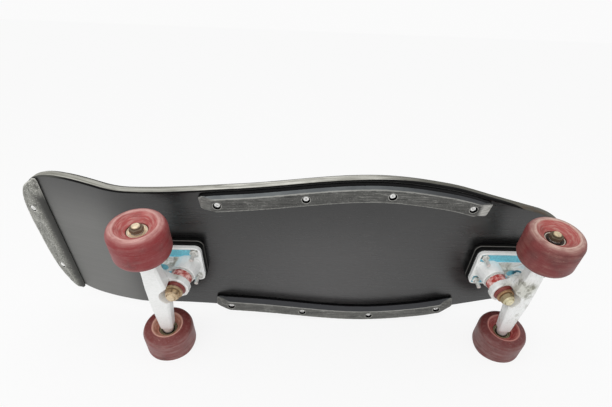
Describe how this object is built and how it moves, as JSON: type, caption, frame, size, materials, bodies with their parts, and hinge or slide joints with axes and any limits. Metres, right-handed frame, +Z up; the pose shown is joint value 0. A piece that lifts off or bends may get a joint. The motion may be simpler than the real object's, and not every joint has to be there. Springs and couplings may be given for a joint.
{
  "type": "wooden skateboard",
  "caption": "Wooden skateboard with a hip-shaped deck and kicked tail, plastic rails and tail guard, and steering trucks with wide urethane wheels.",
  "frame": {"origin": "on the ground, under the middle of the whole board's box, standing on its wheels", "axes": "+X to the nose, +Y to the rider's left, +Z up"},
  "size_m": [0.6888, 0.2474, 0.1381],
  "materials": {
    "painted_wood": "satin charcoal paint",
    "grip_tape": "coarse grit",
    "dark_plastic": "scuffed",
    "riser_rubber": "matte",
    "cast_aluminium": "tumbled",
    "steel": "satin",
    "yellow_zinc": "yellow zinc plating",
    "oxblood_urethane": "dusty",
    "red_bushing": "satin",
    "pivot_cup": "matte"
  },
  "bodies": {
    "board": {"deck": "painted_wood", "grip_tape": "grip_tape", "tail_guard": "dark_plastic", "guard_screw_left": "steel", "guard_screw_right": "steel", "left_rail": "dark_plastic", "right_rail": "dark_plastic", "tail_riser_low": "riser_rubber", "tail_riser_high": "riser_rubber", "tail_baseplate": "cast_aluminium", "tail_pivot_cup": "pivot_cup", "tail_kingpin": "steel", "tail_kingpin_nut": "yellow_zinc", "tail_top_bushing": "red_bushing", "tail_low_bushing": "red_bushing", "tail_top_washer": "yellow_zinc", "tail_low_washer": "yellow_zinc", "tail_bolt_1": "steel", "tail_bolt_2": "steel", "tail_bolt_3": "steel", "tail_bolt_4": "steel", "nose_riser_low": "riser_rubber", "nose_riser_high": "riser_rubber", "nose_baseplate": "cast_aluminium", "nose_pivot_cup": "pivot_cup", "nose_kingpin": "steel", "nose_kingpin_nut": "yellow_zinc", "nose_top_bushing": "red_bushing", "nose_low_bushing": "red_bushing", "nose_top_washer": "yellow_zinc", "nose_low_washer": "yellow_zinc", "nose_bolt_1": "steel", "nose_bolt_2": "steel", "nose_bolt_3": "steel", "nose_bolt_4": "steel"},
    "tail_hanger_body": {"tail_hanger": "cast_aluminium", "tail_axle": "steel", "tail_left_axle_nut": "yellow_zinc", "tail_right_axle_nut": "yellow_zinc", "tail_left_sleeve": "steel", "tail_right_sleeve": "steel"},
    "nose_hanger_body": {"nose_hanger": "cast_aluminium", "nose_axle": "steel", "nose_left_axle_nut": "yellow_zinc", "nose_right_axle_nut": "yellow_zinc", "nose_left_sleeve": "steel", "nose_right_sleeve": "steel"},
    "tail_left_wheel_body": {"tail_left_wheel": "oxblood_urethane", "tail_left_outer_bearing": "steel", "tail_left_inner_bearing": "steel"},
    "tail_right_wheel_body": {"tail_right_wheel": "oxblood_urethane", "tail_right_outer_bearing": "steel", "tail_right_inner_bearing": "steel"},
    "nose_left_wheel_body": {"nose_left_wheel": "oxblood_urethane", "nose_left_outer_bearing": "steel", "nose_left_inner_bearing": "steel"},
    "nose_right_wheel_body": {"nose_right_wheel": "oxblood_urethane", "nose_right_outer_bearing": "steel", "nose_right_inner_bearing": "steel"}
  },
  "joints": [
    {"name": "tail_steering", "type": "hinge", "parent": "board", "child": "tail_hanger_body", "pos_m": [-0.14744, 0, 0.041], "axis": [-0.8214, 0, 0.5704], "range_deg": [-12, 12], "stiffness_Nm_per_rad": 30, "deforming": ["tail_top_bushing", "tail_low_bushing"]},
    {"name": "nose_steering", "type": "hinge", "parent": "board", "child": "nose_hanger_body", "pos_m": [0.24456, 0, 0.041], "axis": [0.8214, 0, 0.5704], "range_deg": [-12, 12], "stiffness_Nm_per_rad": 30, "deforming": ["nose_top_bushing", "nose_low_bushing"]},
    {"name": "tail_left_spin", "type": "hinge", "parent": "tail_hanger_body", "child": "tail_left_wheel_body", "pos_m": [-0.16844, 0.085, 0.0305], "axis": [0, 1, 0], "continuous": true},
    {"name": "tail_right_spin", "type": "hinge", "parent": "tail_hanger_body", "child": "tail_right_wheel_body", "pos_m": [-0.16844, -0.085, 0.0305], "axis": [0, 1, 0], "continuous": true},
    {"name": "nose_left_spin", "type": "hinge", "parent": "nose_hanger_body", "child": "nose_left_wheel_body", "pos_m": [0.26556, 0.085, 0.0305], "axis": [0, 1, 0], "continuous": true},
    {"name": "nose_right_spin", "type": "hinge", "parent": "nose_hanger_body", "child": "nose_right_wheel_body", "pos_m": [0.26556, -0.085, 0.0305], "axis": [0, 1, 0], "continuous": true}
  ]
}
